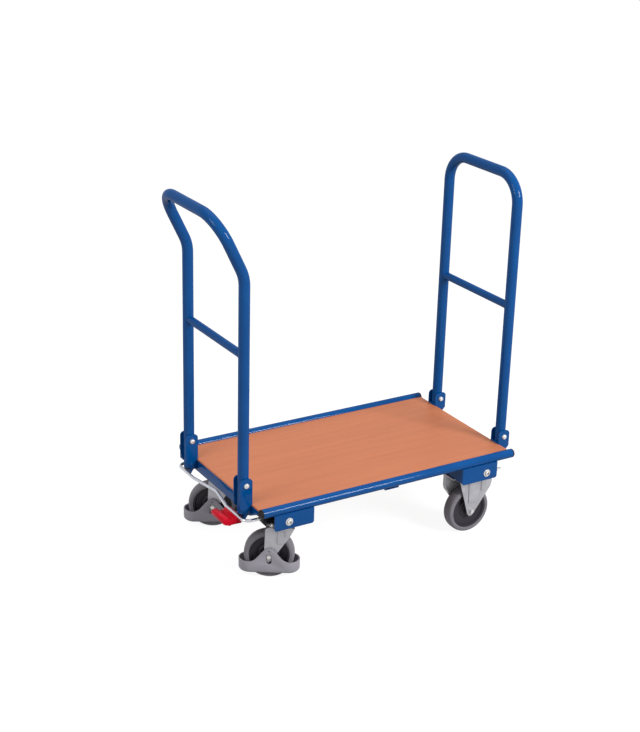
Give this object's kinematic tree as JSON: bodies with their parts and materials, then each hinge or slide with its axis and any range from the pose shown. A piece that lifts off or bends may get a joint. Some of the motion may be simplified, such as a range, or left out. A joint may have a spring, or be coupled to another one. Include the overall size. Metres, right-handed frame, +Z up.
{
  "type": "folding platform trolley",
  "caption": "Platform trolley with a wooden deck, folding tube handles at both ends, fixed castors in front and braked swivel castors with toe guards at the push end.",
  "frame": {"origin": "on the floor, under the middle of the trolley's outline", "axes": "+X towards the front end with the straight handle and fixed castors, +Y to the left side, +Z up"},
  "size_m": [0.8632, 0.4602, 0.9405],
  "materials": {
    "deck_board": "satin beech-look board",
    "blue_paint": "smooth blue powder coat",
    "black_plastic": "matt black moulded plastic",
    "rim_plastic": "matt near-black moulded plastic",
    "grey_tyre": "matt grey rubber",
    "guard_plastic": "satin mid-grey moulded plastic",
    "red_plastic": "bright red moulded plastic",
    "bright_rod": "bright plated rod",
    "zinc_sheet": "bright zinc-plated sheet",
    "zinc_fastener": "zinc-plated steel"
  },
  "bodies": {
    "frame": {"brake_hinge_pins": "zinc_fastener", "deck": "deck_board", "deck_screws": "zinc_fastener", "fixed_axles": "zinc_fastener", "fixed_castor_plate_left": "zinc_sheet", "fixed_castor_plate_right": "zinc_sheet", "fixed_fork_left": "zinc_sheet", "fixed_fork_right": "zinc_sheet", "front_end_rail": "blue_paint", "front_left_castor_housing": "blue_paint", "front_left_handle_bracket": "blue_paint", "front_right_castor_housing": "blue_paint", "front_right_handle_bracket": "blue_paint", "housing_bolts": "zinc_fastener", "housing_end_bolts": "zinc_fastener", "housing_washers": "zinc_fastener", "kingpins": "zinc_fastener", "left_side_tube": "blue_paint", "middle_bar": "blue_paint", "pivot_bolts": "zinc_fastener", "pivot_cap_nuts": "zinc_fastener", "push_end_rail": "blue_paint", "push_left_castor_housing": "blue_paint", "push_left_handle_bracket": "blue_paint", "push_right_castor_housing": "blue_paint", "push_right_handle_bracket": "blue_paint", "right_side_tube": "blue_paint", "side_tube_caps": "black_plastic", "swivel_balls": "zinc_fastener", "swivel_bearing_cups": "black_plastic", "swivel_castor_plate_left": "zinc_sheet", "swivel_castor_plate_right": "zinc_sheet"},
    "push_handle": {"push_handle_tube": "blue_paint", "push_handle_crossbar": "blue_paint", "push_handle_plugs": "black_plastic", "push_pivot_sleeves": "zinc_fastener"},
    "front_handle": {"front_handle_tube": "blue_paint", "front_handle_crossbar": "blue_paint", "front_handle_plugs": "black_plastic", "front_pivot_sleeves": "zinc_fastener"},
    "brake_treadle": {"brake_bow": "bright_rod", "brake_pedal": "red_plastic", "brake_levers": "black_plastic"},
    "brake_plunger_left": {"brake_plunger_left": "zinc_fastener"},
    "swivel_left": {"swivel_fork_left": "zinc_sheet", "toe_guard_left": "guard_plastic", "swivel_axle_left": "zinc_fastener"},
    "swivel_wheel_left": {"swivel_wheel_rim_left": "rim_plastic", "swivel_wheel_tyre_left": "grey_tyre"},
    "fixed_wheel_left": {"fixed_wheel_rim_left": "rim_plastic", "fixed_wheel_tyre_left": "grey_tyre"},
    "brake_plunger_right": {"brake_plunger_right": "zinc_fastener"},
    "swivel_right": {"swivel_fork_right": "zinc_sheet", "toe_guard_right": "guard_plastic", "swivel_axle_right": "zinc_fastener"},
    "swivel_wheel_right": {"swivel_wheel_rim_right": "rim_plastic", "swivel_wheel_tyre_right": "grey_tyre"},
    "fixed_wheel_right": {"fixed_wheel_rim_right": "rim_plastic", "fixed_wheel_tyre_right": "grey_tyre"}
  },
  "joints": [
    {"name": "push_handle_fold", "type": "hinge", "parent": "frame", "child": "push_handle", "pos_m": [-0.34788, 0, 0.27], "axis": [0, 1, 0], "range_deg": [0, 90]},
    {"name": "front_handle_fold", "type": "hinge", "parent": "frame", "child": "front_handle", "pos_m": [0.41462, 0, 0.2375], "axis": [0, -1, 0], "range_deg": [0, 90]},
    {"name": "brake_press", "type": "hinge", "parent": "frame", "child": "brake_treadle", "pos_m": [-0.21463, 0, 0.183], "axis": [0, -1, 0], "range_deg": [0, 5.9]},
    {"name": "brake_plunger_left_slide", "type": "slide", "parent": "frame", "child": "brake_plunger_left", "axis": [0, 0, -1], "range_m": [0, 0.0029]},
    {"name": "swivel_left_turn", "type": "hinge", "parent": "frame", "child": "swivel_left", "pos_m": [-0.24263, 0.152, 0.15], "axis": [0, 0, 1], "continuous": true},
    {"name": "swivel_wheel_left_spin", "type": "hinge", "parent": "swivel_left", "child": "swivel_wheel_left", "pos_m": [-0.26975, 0.16703, 0.0625], "axis": [0.4848, 0.8746, 0], "continuous": true},
    {"name": "fixed_wheel_left_spin", "type": "hinge", "parent": "frame", "child": "fixed_wheel_left", "pos_m": [0.29937, 0.168, 0.0625], "axis": [0, 1, 0], "continuous": true},
    {"name": "brake_plunger_right_slide", "type": "slide", "parent": "frame", "child": "brake_plunger_right", "axis": [0, 0, -1], "range_m": [0, 0.0029]},
    {"name": "swivel_right_turn", "type": "hinge", "parent": "frame", "child": "swivel_right", "pos_m": [-0.24263, -0.152, 0.15], "axis": [0, 0, 1], "continuous": true},
    {"name": "swivel_wheel_right_spin", "type": "hinge", "parent": "swivel_right", "child": "swivel_wheel_right", "pos_m": [-0.26892, -0.13557, 0.0625], "axis": [0.5299, 0.848, 0], "continuous": true},
    {"name": "fixed_wheel_right_spin", "type": "hinge", "parent": "frame", "child": "fixed_wheel_right", "pos_m": [0.29937, -0.168, 0.0625], "axis": [0, 1, 0], "continuous": true}
  ],
  "couplings": [
    {"joint": "brake_plunger_left_slide", "follows": "brake_press", "m_per_rad": 0.028},
    {"joint": "brake_plunger_right_slide", "follows": "brake_press", "m_per_rad": 0.028}
  ]
}
